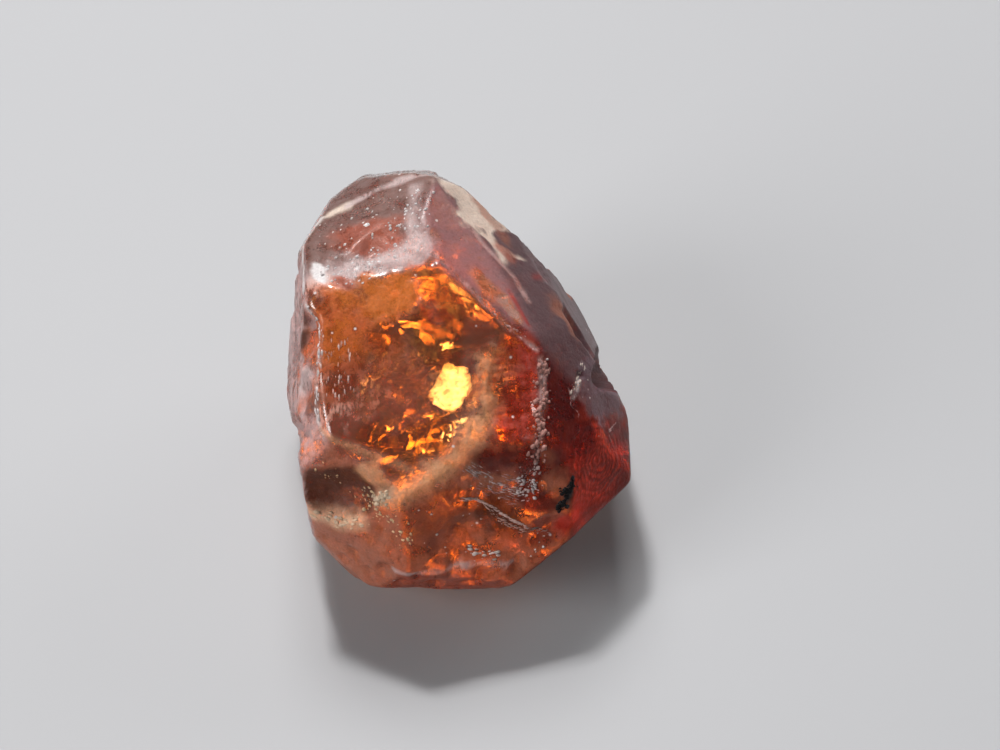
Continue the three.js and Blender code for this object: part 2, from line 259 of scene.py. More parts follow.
# worn lines of another finish: half-width, strength, finish, then points in compass and tilt
trails = {
    "windowTop": (0.38, 0.9, "frost", [(-171, 51), (-174, 58), (178, 67), (158, 77)]),
    "ridgeRise": (0.16, 0.5, "frost", [(160, 78), (140, 73), (122, 69), (114, 63)]),
    # painted highlights: a pale line along the upper-left edge and a white glint on it
    "leftTopHighlight": (0.13, 1, "cream", [(180, 43), (168, 44), (152, 47), (143, 52)]),
    "leftTopGlint": (0.12, 1, "white", [(-178, 44), (168, 44), (152, 47)]),
    "creamTail": (0.14, 1, "cream", [(59, 67), (40, 70), (24, 72)]),
    "topLine": (0.08, 0.8, "frost", [(143, 52), (135, 54), (118, 58), (100, 60)]),
    "windowLeft": (0.26, 0.9, "veil", [(-172, 52), (-158, 45), (-148, 43), (-141, 35), (-133, 26)]),
    # painted highlight: a bright line along the window's left edge
    "windowRimHighlight": (0.07, 1, "white", [(-165, 46), (-156, 45), (-148, 40), (-142, 32), (-136, 25), (-132, 23)]),
    "veilLeft": (0.5, 0.9, "veil", [(-150, 50), (-141, 43), (-132, 32)]),
    "veilMid": (0.2, 0.6, "veil", [(-128, 36), (-120, 38)]),
    "bandRim": (0.06, 0.7, "crust", [(170, 83), (-60, 79), (-50, 62), (-42, 50)]),
    "bandTop": (0.08, 0.7, "crust", [(98, 64), (60, 76), (37, 76), (5, 69), (-15, 62)]),
    # painted highlight: a red-orange line along the band's right rim
    "bandEdgeHighlight": (0.06, 0.9, "flame", [(-20, 70), (-30, 64), (-36, 58)]),
    "emberRidge": (0.09, 0.9, "crust", [(-43, 46), (-52, 34), (-60, 24), (-63, 18)]),
    "arcHigh": (0.42, 0.9, "arc", [(-68, 55), (-72, 47), (-78, 39), (-83, 29)]),
    "arcLow": (0.3, 1, "arc", [(-83, 29), (-92, 21), (-101, 16), (-108, 13)]),
    # painted highlight at the foot of the arc
    "arcFootHighlight": (0.2, 1, "sandHighlight", [(-109, 13), (-111, 11)]),
    "lowEdge": (0.08, 0.8, "arc", [(-134, 24), (-124, 23), (-113, 22), (-103, 20)]),
    # painted highlight along the toe's rim
    "toeRimHighlight": (0.2, 0.9, "sandHighlight", [(-130, 0), (-121, 1), (-116, 3)]),
    "lowerRim": (0.05, 0.9, "frost", [(-105, -6), (-97, -6), (-90, -6.5), (-82, -7.5), (-75, -9)]),
    "brightCrack": (0.05, 1, "white", [(-24, 33), (-33, 30.5), (-39, 29)]),
    "cheekEdge": (0.06, 0.8, "crust", [(-36, 27), (-31, 18), (-27, 11)]),
}

# borders of trails and patches: size of the noise that makes them ragged, then how ragged they are, where
# they are whole and where they end, in half-widths
borders = {"size": 0.7, "trail": (0.6, 0.1, 1.7), "patch": (0.7, 0.5, 1.4)}
rings = {
    "compass": -42,
    "tilt": 7,
    "whole": 0.75,  # how far out the growth rings begin to fade
    "spread": 1.25,  # and end
    "step": 0.13,
    "climb": 0.75,  # share of a step that rises
    "stray": 0.09,
    "straySize": 0.35,
    "depth": 0.03,
    # painted highlight: the skin's colour is made lighter on the crests by this share
    "crestHighlight": 3,  # how bright their crests are
}


def lengths(vectors):
    return np.linalg.norm(vectors, axis=-1)


# The same vectors made one long.
def unit(vectors):
    return vectors / lengths(vectors)[..., None]


# Unit vector: level part cos(tilt) turned by the compass, upright part sin(tilt).
def direction(compass, tilt):
    compass, tilt = np.radians(compass), np.radians(tilt)
    return np.stack([np.cos(tilt) * np.cos(compass), np.cos(tilt) * np.sin(compass), np.sin(tilt)], -1)


# Unit vectors at right angles: along a length turned from level, across it, and out.
def turnedAxes(out, turn):
    level = unit(np.cross((0, 0, 1), out))
    rising = np.cross(out, level)
    turn = radians(turn)
    return np.stack([cos(turn) * level + sin(turn) * rising, cos(turn) * rising - sin(turn) * level, out])


# Six square patches: u and v run from -45 to 45 degrees, and the direction is (1, tan u, tan v) made one
# long, turned to face along an axis of a cube. Corners that patches share are merged.
def cubeSphere(cells):
    angle = np.linspace(-pi / 4, pi / 4, cells + 1)
    u, v = np.meshgrid(np.tan(angle), np.tan(angle), indexing="ij")
    one = np.ones_like(u)
    patchRays = [(one, u, v), (-one, -u, v), (-u, one, v), (u, -one, v), (-v, u, one), (v, u, -one)]
    rays = unit(np.stack([np.stack(patch, -1) for patch in patchRays]))
    index = np.arange(rays[..., 0].size).reshape(6, cells + 1, cells + 1)
    quads = np.stack([index[:, :-1, :-1], index[:, 1:, :-1], index[:, 1:, 1:], index[:, :-1, 1:]], -1)
    rays = rays.reshape(-1, 3)
    _, first, where = np.unique(np.round(rays, 7), axis=0, return_index=True, return_inverse=True)
    return rays[first], where.reshape(-1)[quads.reshape(-1, 4)]


steepest = 60  # powers of e beyond this make no difference


# The lesser of two lengths, rounded where they cross: lesser - wear * log(1 + e^(-difference / wear)).
def softMin(a, b, wear):
    return np.minimum(a, b) - wear * np.log1p(np.exp(-np.minimum(abs(a - b) / wear, steepest)))


faceTable = np.array([face[:3] for face in faces.values()])
faceNormals = direction(faceTable[:, 0], faceTable[:, 1])
grazing = 0.02  # least cosine from a ray to a face's normal at which they still meet


# Along each ray, how far each flat face is: its reach over the cosine to its normal.
def flatReach(rays):
    cosine = rays @ faceNormals.T
    return np.where(cosine > grazing, faceTable[:, 2] / np.maximum(cosine, grazing), far)


# The nearest face along each ray, by a soft minimum over all the faces, and each face's part in it.
def wornReach(rays):
    reach = flatReach(rays)
    nearest = reach.min(1, keepdims=True)
    parts = np.exp(-np.minimum((reach - nearest) / crystal["edgeWear"], steepest))
    total = parts.sum(1, keepdims=True)
    return (nearest - crystal["edgeWear"] * np.log(total))[:, 0], parts / total


# The i-th chip of a row, in a size and a turn that don't repeat.
def chipShape(i, compass, tilt, size):
    share = i * chips["wander"] % 1
    length = size * (chips["shortest"] + (chips["longest"] - chips["shortest"]) * share)
    return compass, tilt, length, length * chips["width"], length * chips["depth"], i * chips["turn"]


# Chips evenly spaced along each row, to each side of it in turn, then the pits in a spiral whose radius
# grows as the square root of the count.
def allChips():
    shapes = []
    for start, end, count, size in chipRows:
        for i in range(count):
            compass, tilt = np.array(start) + (np.array(end) - start) * i / (count - 1)
            swing = chips["swing"] if i % 2 else -chips["swing"]
            shapes.append(chipShape(i, compass, tilt + swing, size))
    for i in range(pits["count"]):
        away = pits["spread"] * ((i + 0.5) / pits["count"]) ** 0.5
        turn = radians(i * chips["turn"])
        sideways = away * cos(turn) / cos(radians(pits["tilt"]))
        shapes.append(chipShape(i, pits["compass"] + sideways, pits["tilt"] + away * sin(turn), pits["size"]))
    return shapes


# How far along each ray the near side of a hollow's ellipsoid is, the lower root t of
# |(t * ray - centre) / halfSizes| = 1, and where that is in its own axes. It looks out as the near faces do.
def hollowReach(rays, hollow):
    compass, tilt, halfLength, halfWidth, depth, turn = hollow
    through = direction(compass, tilt)
    reach = flatReach(through[None])[0]
    pull = np.exp((reach.min() - reach) / crystal["nearness"])
    axes = turnedAxes(unit(pull @ faceNormals), turn)
    rim = (1 - (1 - crystal["shellShare"]) ** 2) ** 0.5
    halfSizes = np.array([halfLength / rim, halfWidth / rim, depth / crystal["shellShare"]])
    centre = axes @ (through * reach.min() + axes[2] * (halfSizes[2] - depth)) / halfSizes
    way = rays @ axes.T / halfSizes
    a = (way**2).sum(1)
    b = way @ centre
    inside = b**2 - a * (centre @ centre - 1)
    hit = (inside > 0) & (b > 0)
    root = np.where(hit, (b - np.sqrt(np.maximum(inside, 0))) / a, far)
    return root, np.where(hit[:, None], (way * root[:, None] - centre) * halfSizes, 0)


dice = np.random.default_rng(crystal["seed"])
tableSize = 256
slopes = unit(dice.normal(size=(tableSize, 3)))
jitters = dice.uniform(0.1, 0.9, size=(tableSize, 3))
shuffle = dice.permutation(tableSize)
saltStep = 17.31
noiseGain = 1.6  # brings the noise to about -1 to 1
slopeShift = 97  # keeps a cell's slope apart from its point
tiny = 1e-9
# the salt of each use of noise, which shifts it by so many times saltStep lumps
salts = {"stray": (11, 23, 37), "waves": 0, "breaks": 3, "grains": 5, "borders": 61, "rings": 71, "skin": 83}


def shuffled(key):
    key = key % tableSize
    return shuffle[(shuffle[(shuffle[key[:, 0]] + key[:, 1]) % tableSize] + key[:, 2]) % tableSize]


# Smooth noise from about -1 to 1 with lumps of a size: each corner of a cubic grid has a slope, and the
# slopes' heights are blended with 6t^5 - 15t^4 + 10t^3.
def noise(points, size, salt=0):
    points = points / size + salt * saltStep
    cell = np.floor(points).astype(int)
    part = points - cell
    blend = part**3 * (part * (part * 6 - 15) + 10)
    total = np.zeros(len(points))
    for corner in np.ndindex(2, 2, 2):
        height = ((part - corner) * slopes[shuffled(cell + corner)]).sum(1)
        total += height * np.prod(np.where(corner, blend, 1 - blend), 1)
    return total * noiseGain


# Noise added to itself at half the size and half the height, again and again.
def roughNoise(points, size, octaves, salt=0):
    return sum(noise(points, size / 2**i, salt + i) / 2**i for i in range(octaves))


# Small flat breaks, from 0 to 1: each cell of a cubic grid has a point and a slope, and a place takes the
# slopes' heights, each weighted by e^(-sharpness * distance^2) to its cell's point.
def flatBreaks(points, size, sharpness, salt):
    points = points / size + salt * saltStep
    cell = np.floor(points).astype(int)
    total, weights = np.zeros(len(points)), np.full(len(points), tiny)
    for corner in np.ndindex(3, 3, 3):
        near = cell + corner - 1
        key = shuffled(near)
        away = points - near - jitters[key]
        weight = np.exp(-sharpness * (away**2).sum(1))
        total += weight * (away * slopes[(key + slopeShift) % tableSize]).sum(1)
        weights += weight
    return np.clip(0.5 + total / weights, 0, 1)


# 1 up to a first distance, 0 beyond a second, and 3t^2 - 2t^3 between.
def fading(away, whole, gone):
    t = np.clip((gone - away) / (gone - whole), 0, 1)
    return t * t * (3 - 2 * t)


# From -1 to 1, brought to 0 to 1.
def raised(wave):
    return 0.5 + 0.5 * wave


# Distance from each place to the nearest point of a trail, measured between rays times their reach.
def awayFromTrail(rays, reach, points):
    ends = direction(*np.array(points).T)
    away = np.full(len(rays), far)
    for start, end in zip(ends[:-1], ends[1:]):
        span = end - start
        share = np.clip((rays - start) @ span / (span @ span), 0, 1)
        away = np.minimum(away, lengths(rays - start - share[:, None] * span) * reach)
    return away


# Moves each place's values towards a finish by its share there.
def mixIn(values, share, name):
    values += share[:, None] * (np.hstack(finishes[name]) - values)


# Each place's finish: its faces' mixed by their parts, then the hollows', the trails' and the patches', with
# borders made ragged by noise.
def finishedSurface(rays, reach, parts, hollowed):
    ragged = roughNoise(rays * reach[:, None], borders["size"], 5, salts["borders"])
    values = parts @ np.array([np.hstack(finishes[face[3]]) for face in faces.values()])
    for share, name in hollowed:
        mixIn(values, share, name)
    sway, whole, gone = borders["trail"]
    for halfWidth, strength, name, points in trails.values():
        away = awayFromTrail(rays, reach, points) / halfWidth + sway * ragged
        mixIn(values, strength * fading(away, whole, gone), name)
    sway, whole, gone = borders["patch"]
    for compass, tilt, halfLength, halfWidth, turn, strength, name in patches.values():
        middle = direction(compass, tilt)
        spot = rays @ turnedAxes(middle, turn)[:2].T * reach[:, None] / (halfLength, halfWidth)
        away = np.where(rays @ middle < 0, far, lengths(spot) + sway * ragged)
        mixIn(values, np.clip(strength * fading(away, whole, gone), 0, 1), name)
    return values


# Hollows and chips bitten out one after another by a soft minimum. One's share of a place is
# 1 / (1 + e^((its reach - the reach so far) / wear)), and its ribs are sine rings about one end.
def hollowedOut(rays, reach):
    ribs, inHollow, hollowed = np.zeros(len(rays)), np.zeros(len(rays)), []
    shapes = [(hollow[:6], hollow[6]) for hollow in hollows.values()] + [(chip, None) for chip in allChips()]
    for shape, name in shapes:
        bite, place = hollowReach(rays, shape)
        share = 1 / (1 + np.exp(np.clip((bite - reach) / crystal["rimWear"], -steepest, steepest)))
        away = lengths(place + (shape[2], 0, 0))
        ribs = ribs * (1 - share) + share * raised(np.sin(2 * pi * away / crystal["ribStep"]))
        inHollow = np.maximum(inHollow, share)
        reach = softMin(reach, bite, crystal["rimWear"])
        if name:
            hollowed.append((share, name))
    return reach, ribs * inHollow, hollowed


# Terraces of a growth hillock: a saw with teeth a step wide, fading away from its middle.
def growthRings(rays, reach):
    away = lengths(rays - direction(rings["compass"], rings["tilt"])) * reach
    stray = rings["stray"] * roughNoise(rays * reach[:, None], rings["straySize"], 3, salts["rings"])
    saw = (away + stray) / rings["step"] % 1
    tooth = np.where(saw < rings["climb"], saw / rings["climb"], (1 - saw) / (1 - rings["climb"]))
    return tooth * fading(away, rings["whole"], rings["spread"])


# Distance from the middle along each ray: the soft minimum of the faces and the hollows, less waves, flat
# breaks, grains, growth rings and ribs, which all go inwards. Noise bends the rays first, so that edges and
# rims stray.
def crystalSurface():
    rays, quads = cubeSphere(crystal["cells"])
    places = rays * flatReach(rays).min(1, keepdims=True)
    bend = np.stack([roughNoise(places, crystal["straySize"], 4, salt) for salt in salts["stray"]], 1)
    bend /= lengths(places)[:, None]
    straight, parts = wornReach(rays)
    strayed, _ = wornReach(unit(rays + bend * crystal["edgeStray"]))
    bent = unit(rays + bend * crystal["rimStray"])
    reach, ribs, hollowed = hollowedOut(bent, np.minimum(straight, strayed))
    values = finishedSurface(rays, reach, parts, hollowed)
    rough, waves, breaks, grains, cover, patchy = values[:, 3:9].T
    places = rays * reach[:, None]
    cover = np.clip(cover * (1 + patchy * roughNoise(places, crystal["patchSize"], 4, salts["skin"])), 0, 1)
    carve = crystal["spare"] + crystal["ribDepth"] * ribs
    carve += waves * raised(roughNoise(places, crystal["waveSize"], 3, salts["waves"]))
    carve += breaks * flatBreaks(places, crystal["breakSize"], crystal["breakSharpness"], salts["breaks"])
    carve += grains * raised(roughNoise(places, crystal["grainSize"], 3, salts["grains"]))
    terraces = growthRings(rays, reach)
    carve += rings["depth"] * terraces
    # painted highlight: the skin's colour is made lighter on the growth rings' crests
    skin = values[:, 9:] * (1 + rings["crestHighlight"] * terraces**2)[:, None]
    skinMarks = {"skin": skin, "cover": cover, "patchy": patchy}
    return rays, reach - carve, quads, {"tint": values[:, :3], "rough": rough}, skinMarks


def newObject(name, data):
    made = bpy.data.objects.new(name, data)
    bpy.context.collection.objects.link(made)
    return made


# Marks are one number or one colour for each point.
def makePiece(name, points, corners, **marks):
    mesh = bpy.data.meshes.new(name)
    mesh.from_pydata(points, [], corners, shade_flat=False)
    mesh.validate()
    for mark, values in marks.items():
        kind, field = ("FLOAT_VECTOR", "vector") if values.ndim == 2 else ("FLOAT", "value")
        layer = mesh.attributes.new(mark, kind, "POINT")
        layer.data.foreach_set(field, values.astype(np.float32).ravel())
    return newObject(name, mesh)


# The clear stone, and its skin a little further out, which lies on z = 0. The skin is worn and frosted,
# and its colour also holds painted sheen, highlights and glow.
def buildCrystal():
    rays, reach, quads, clearMarks, skinMarks = crystalSurface()
    above = crystal["skinAbove"]
    points = rays * reach[:, None] + crystal["middle"]
    points[:, 2] = np.maximum(points[:, 2], above)
    clear = makePiece("zircon", points * mm, quads, **clearMarks)
    points = rays * (reach + above)[:, None] + crystal["middle"]
    points[:, 2] = np.maximum(points[:, 2], 0)
    worn = makePiece("worn_skin_and_painted_light", points * mm, quads, **skinMarks)
    return clear, worn, rays, reach


# crumbs stuck on the crystal: points of their row in compass and tilt, how many, size, length for width,
# how far they stray to the sides, and colour
# Rows of glints and highlights are painted highlights: white or golden lumps standing in for light caught on
# the stone.
crumbRows = {
    "emberRidge": (
        [(-43, 46), (-48, 40), (-52, 34), (-57, 28), (-60, 23), (-63, 17)],
        150, 0.045, 1.2, 0.09, (0.62, 0.3, 0.25),
    ),
    "blackBranch": ([(-53, 9), (-55, 6), (-57, 4), (-60, 1)], 90, 0.036, 1.3, 0.05, (0.006, 0.005, 0.005)),
    "blackArm": ([(-52, 6.5), (-55, 6), (-58, 6.5)], 40, 0.035, 1.3, 0.05, (0.006, 0.005, 0.005)),
    "emberFoot": ([(-62, 18), (-66, 13), (-69, 9)], 40, 0.03, 1.4, 0.12, (0.75, 0.55, 0.52)),
    "longScratch": (
        [(-86, 21), (-81, 16.5), (-76, 12), (-70, 8.5), (-67, 8)], 200, 0.012, 8, 0.08, (0.9, 0.72, 0.68),
    ),
    "upperScratch": (
        [(-88, 10), (-83, 9), (-78, 6), (-72, 1), (-66, -3), (-63, -5)],
        190, 0.011, 9, 0.012, (0.85, 0.62, 0.56),
    ),
    "lowerScratch": ([(-81, 8), (-77, 3), (-70, -2), (-65, -4)], 110, 0.01, 9, 0.03, (0.8, 0.5, 0.42)),
    "mistA": ([(-84, 18), (-79, 14.5), (-74, 11.5), (-70, 9.5)], 110, 0.009, 10, 0.07, (0.62, 0.36, 0.34)),
    "mistB": ([(-82, 13), (-76, 9.5), (-70, 6)], 100, 0.009, 10, 0.08, (0.62, 0.36, 0.34)),
    "mistC": ([(-76, 16), (-71, 13), (-67, 11.5)], 80, 0.009, 9, 0.06, (0.7, 0.42, 0.4)),
    "squiggle": (
        [(-38.7, 32), (-40, 29.5), (-41.8, 27), (-40.4, 24), (-42.4, 21.4)],
        60, 0.012, 3, 0.008, (0.6, 0.3, 0.28),
    ),
    "whiteCluster": ([(-70, 11), (-66, 10), (-64, 8)], 70, 0.026, 1.8, 0.14, (0.9, 0.78, 0.76)),
    "lowCluster": ([(-87, -4), (-82, -5.5), (-78, -6)], 50, 0.024, 2, 0.05, (0.9, 0.76, 0.7)),
    # painted highlight: golden glints on the lower left
    "goldenGlints": (
        [(-118, 10), (-112, 8), (-107, 6.5), (-103, 4.5), (-101, 1)], 120, 0.024, 1.6, 0.13, (1, 0.72, 0.42),
    ),
    # painted highlight: a cream-white glint at the end of the arc
    "arcEndGlint": ([(-108.5, 13), (-111, 11.4), (-112.5, 10)], 90, 0.035, 1.4, 0.06, (1, 0.76, 0.54)),
    # painted highlight: pale lumps along the window's left edge
    "leftEdgeHighlight": (
        [(-165, 46), (-156, 45), (-148, 40), (-142, 32), (-136, 25)], 120, 0.025, 2.5, 0.03, (0.9, 0.8, 0.78),
    ),
    # painted highlight along the toe's rim
    "toeCrestHighlight": ([(-130, 0), (-121, 1), (-115, 4)], 60, 0.03, 2, 0.06, (1, 0.72, 0.5)),
    "veilDust": ([(-150, 47), (-141, 41), (-134, 33)], 60, 0.016, 4, 0.16, (0.8, 0.6, 0.55)),
    "crackRow": ([(-24, 33), (-33, 30.5), (-39, 29)], 36, 0.026, 2, 0.05, (0.9, 0.72, 0.62)),
    "bandEdge": ([(-60, 79), (-48, 62), (-42, 50)], 50, 0.015, 2, 0.03, (0.75, 0.5, 0.46)),
    # painted highlights: the next four rows are white and golden glints
    "hollowGlint": ([(151, 61.6), (153, 61.2)], 14, 0.035, 1.3, 0.03, (1, 0.97, 0.95)),
    "ridgeGlints": ([(174, 67), (-177, 62.6)], 12, 0.03, 1.3, 0.1, (1, 0.95, 0.93)),
    "toeGoldGlints": ([(-129.6, 16), (-127, 11), (-120.5, 8.2)], 44, 0.018, 1.6, 0.16, (1, 0.62, 0.34)),
    "rimGlints": ([(-64, -3.7), (-70.5, -8.3)], 9, 0.03, 1.2, 0.04, (1, 0.9, 0.86)),
    "cheekRim": ([(-25.4, 7.9), (-32.5, 10.3), (-33, 6.8)], 60, 0.013, 3, 0.01, (0.72, 0.42, 0.4)),
    "ridgeDust": (
        [(-173, 52), (180, 62), (165, 74), (125, 70), (112, 62)], 220, 0.028, 1.3, 0.2, (0.95, 0.87, 0.86),
    ),
    "hollowDust": ([(172, 56), (150, 62), (130, 66)], 50, 0.025, 1.3, 0.4, (0.9, 0.82, 0.78)),
    "cheekDust": ([(-50, 30), (-38, 25), (-30, 20)], 14, 0.022, 1.2, 0.4, (0.9, 0.85, 0.82)),
    "frontDust": ([(-100, 2), (-85, 6), (-66, 0)], 36, 0.02, 1.3, 0.6, (0.85, 0.7, 0.62)),
}
crumbShape = {
    "belts": 4,
    "spokes": 7,
    "sink": 0.35,  # share of its size that a crumb is sunk in
    "least": 0.5,  # shares of its row's size
    "most": 1.7,
    "lump": 0.5,  # how uneven its shape is
    "lumpSize": 0.9,
    "lumpKinds": 200,
    "darkest": 0.75,  # shares of its row's brightness
    "brightest": 1.15,
    "glance": 0.01,  # how far it looks along its row for a heading
}


# Triangles that join rings of corners about a first corner.
def ringTriangles(ringCount, spokes):
    starts = 1 + np.arange(ringCount)[:, None] * spokes
    here, there = starts + np.arange(spokes), starts + (np.arange(spokes) + 1) % spokes
    return np.concatenate([
        np.stack([np.zeros(spokes, int), here[0], there[0]], 1),
        np.stack([here[:-1], here[1:], there[1:]], -1).reshape(-1, 3),
        np.stack([here[:-1], there[1:], there[:-1]], -1).reshape(-1, 3),
    ])


# A ball: belts of corners at even tilts between a lowest and a highest point.
def ballSurface(belts, spokes):
    tilts = ((np.arange(belts) + 0.5) / belts - 0.5) * 180
    compass, tilt = np.meshgrid(np.arange(spokes) * 360 / spokes, tilts)
    points = np.concatenate([[(0, 0, -1)], direction(compass.ravel(), tilt.ravel()), [(0, 0, 1)]])
    top = len(points) - 1
    here = top - spokes + np.arange(spokes)
    cap = np.stack([here, np.roll(here, -1), np.full(spokes, top)], 1)
    return points, np.concatenate([ringTriangles(belts, spokes)[:, ::-1], cap])


# Lumps along their rows: balls stretched along the row, made uneven by noise and sunk into the surface.
def buildCrumbs(rays, reach):
    shape = crumbShape
    ball, ballCorners = ballSurface(shape["belts"], shape["spokes"])
    allPoints, allColours = [], []
    for row, count, size, stretch, stray, colour in crumbRows.values():
        ends = direction(*np.array(row).T)
        distances = np.concatenate([[0], np.cumsum(lengths(np.diff(ends, axis=0)))])
        at = np.sort(dice.random(count)) * distances[-1]
        places = at + np.array([[0], [shape["glance"]], [-shape["glance"]]])
        middles, ahead, behind = np.stack([np.interp(places, distances, line) for line in ends.T], -1)
        middles = unit(middles)
        across = unit(np.cross(middles, ahead - behind))
        ahead = np.cross(across, middles)
        sizes = size * (shape["least"] + (shape["most"] - shape["least"]) * dice.random(count) ** 2)
        nearest = reach[(middles @ rays.T).argmax(1)]
        middles = unit(middles + across * (dice.normal(size=count) * stray / nearest)[:, None])
        nearest = reach[(middles @ rays.T).argmax(1)]
        for i in range(count):
            unevenness = noise(ball, shape["lumpSize"], int(dice.integers(shape["lumpKinds"])))
            lump = ball * (1 + shape["lump"] * unevenness)[:, None]
            lump = lump * (stretch, 1, 1) @ np.stack([ahead[i], across[i], middles[i]])
            allPoints.append(middles[i] * (nearest[i] - shape["sink"] * sizes[i]) + lump * sizes[i])
            shade = dice.uniform(shape["darkest"], shape["brightest"])
            allColours.append(np.tile(np.array(colour) * shade, (len(ball), 1)))
    points = np.concatenate(allPoints) + crystal["middle"]
    points = np.clip(points * mm, cadLow, cadHigh)
    corners = np.concatenate([ballCorners + i * len(ball) for i in range(len(allPoints))])
    full, none = np.ones(len(points)), np.zeros(len(points))
    return makePiece("crumbsAndGlints", points, corners, skin=np.concatenate(allColours), cover=full, patchy=none)


# feather-like cracks inside the crystal: place from its middle, compass and lean of the way they face,
# half-length, half-width, turn, waves and how dull they are
feathers = {
    "goldenCore": ((-0.08, -1.38, 1.22), -92, 23, 0.56, 0.42, 75, 0.002, 0),
    "coreFoot": ((-0.3, -1.3, 0.2), -92, 23, 0.5, 0.14, 20, 0.02, 0),
    "upperFleck": ((-0.18, -0.3, 1.45), -94, 22, 0.16, 0.12, 10, 0.01, 0),
    "leftFleck": ((-1.57, -1.32, -0.21), -92, 23, 0.4, 0.16, 20, 0.03, 0),
    "rightFleck": ((0.17, -1.97, 0.67), -95, 23, 0.2, 0.12, 20, 0.01, 0),
    "lowFleck": ((-0.17, -2.3, 0.6), -95, 23, 0.26, 0.16, 60, 0.02, 0),
    "footFleck": ((-0.71, -2.38, -0.24), -95, 23, 0.35, 0.16, 40, 0.03, 0),
    "highSwirl": ((-0.1, 0.97, 0.71), -5, 13, 0.5, 0.2, 60, 0.04, 0.7),
    "highSheet": ((-0.6, 1.1, 0.8), -15, 6, 0.7, 0.25, 30, 0.05, 0.7),
    "arcHigh": ((0.66, -1.85, 2.15), -93, 23, 0.75, 0.24, 72, 0.03, 1),
    "arcMiddle": ((0.2, -2.95, 1.2), -93, 23, 0.7, 0.26, 55, 0.03, 1),
    "arcLow": ((-0.6, -3.6, 0.75), -95, 24, 0.7, 0.2, 25, 0.03, 1),
    "topStreakA": ((0, 1.53, 1.25), -5, 13, 0.4, 0.06, 50, 0.02, 0.4),
    "topStreakB": ((0.12, 1.3, 1.25), -5, 13, 0.5, 0.07, 55, 0.02, 0.4),
    "topStreakC": ((0.3, 1.1, 1), -5, 13, 0.4, 0.07, 50, 0.02, 0.4),
    "paleGlint": ((-1.53, -3.9, 0.62), -105, 30, 0.17, 0.12, 20, 0.004, 0.4),
    "topGlow": ((-0.5, 1.5, 1.2), -150, 4, 0.6, 0.3, 20, 0.03, 1),
    "emberSheet": ((1.08, -1.27, 1.65), -82, 25, 0.4, 0.2, 80, 0.04, 0),
    "emberFoot": ((0.95, -2.29, 0.89), -76, 25, 0.2, 0.12, 80, 0.03, 0),
    "slantSheet": ((-0.9, -0.3, 0.9), -150, 35, 0.9, 0.3, 65, 0.05, 0),
    "leftVeil": ((-1.9, -1.3, 1.4), -120, 60, 0.9, 0.3, 80, 0.06, 0),
    "midVeil": ((0.4, -1.9, 0.6), -80, 55, 0.8, 0.2, 50, 0.05, 0),
    "lowVeil": ((-0.6, -2.6, 0), -100, 60, 0.9, 0.25, 15, 0.05, 0),
}

# swarms of flecks along a sheet: middle, compass and lean of the way it faces, half-length, half-width,
# turn, how many flecks and how dull they are
swarms = {
    "coreSwarm": ((-0.6, -0.5, 0), -92, 23, 1, 0.6, 10, 26, 0),
    "lowSwarm": ((-0.4, -2.2, -0.2), -95, 23, 1.2, 0.6, 20, 22, 0.1),
    "leftSwarm": ((-1.5, -0.8, 0.3), -92, 23, 0.9, 0.5, 70, 12, 0.3),
    "rightSwarm": ((1.4, -1.6, 0.9), -80, 25, 1, 0.4, 80, 12, 0.1),
    "highSwarm": ((-0.4, 1, 0.8), -10, 8, 1.3, 0.6, 20, 26, 0.8),
    "topSwarm": ((0.1, 1.3, 1.1), -5, 13, 0.9, 0.5, 50, 20, 0.8),
    "hazeSwarm": ((-1.6, 0.6, 0.7), -150, 4, 0.9, 0.6, 80, 16, 0.5),
}
crack = {
    "open": 0.004,  # half of its opening at its middle
    "waveSize": 0.45,
    "waveSalt": 50,
    "ragged": 0.28,  # how uneven its rim is
    "raggedSize": 0.8,
    "apart": 3.7,  # from one crack's rim noise to the next one's
    "rings": 10,
    "spokes": 36,
}
fleck = {
    "size": 0.09,
    "least": 0.5,  # a fleck's share of that is from least to least + more
    "more": 1.6,
    "stretch": 1.5,
    "spread": 0.55,  # how far they stray, as a share of their swarm's half sizes
    "thickness": 0.1,  # a swarm's third half size
    "turn": 14,
    "lean": 5,
    "waves": 0.01,
    "rings": 3,
    "spokes": 12,
}


# A thin closed lens: share s of the way out and angle a give (s * cos a, s * sin a) times the half sizes and
# a ragged rim, squared off by (cos^4 a + sin^4 a)^(-1/4). Its two sides are open * sqrt(1 - s^2) above and
# below a wavy sheet.
def featherSurface(order, place, compass, lean, halfLength, halfWidth, turn, waves, dull, ringCount, spokes):
    axes = turnedAxes(direction(compass, 90 - lean), turn)
    angle = np.arange(spokes) * 2 * pi / spokes
    circle = np.stack([np.cos(angle), np.sin(angle)], 1)
    around = np.column_stack([circle, np.full(spokes, order * crack["apart"])])
    uneven = 1 + crack["ragged"] * roughNoise(around, crack["raggedSize"], 3, order)
    rim = circle * ((circle**4).sum(1) ** -0.25 * uneven)[:, None] * (halfLength, halfWidth)
    share = np.sin(np.arange(1, ringCount + 1) / ringCount * pi / 2)
    flat = np.concatenate([np.zeros((1, 2)), (share[:, None, None] * rim).reshape(-1, 2)])
    share = np.concatenate([[0], np.repeat(share, spokes)])
    sheet = np.array(place) + flat @ axes[:2]
    height = waves * roughNoise(sheet, crack["waveSize"], 3, crack["waveSalt"])
    gap = crack["open"] * np.sqrt(np.maximum(1 - share**2, 0))
    upper = sheet + (height + gap)[:, None] * axes[2]
    lower = (sheet + (height - gap)[:, None] * axes[2])[:-spokes]
    top = ringTriangles(ringCount, spokes)
    below = np.where(top < len(lower), top + len(upper), top)[:, ::-1]
    away = np.concatenate([share, share[:-spokes]])
    return np.concatenate([upper, lower]), np.concatenate([top, below]), away, np.full(len(away), dull)


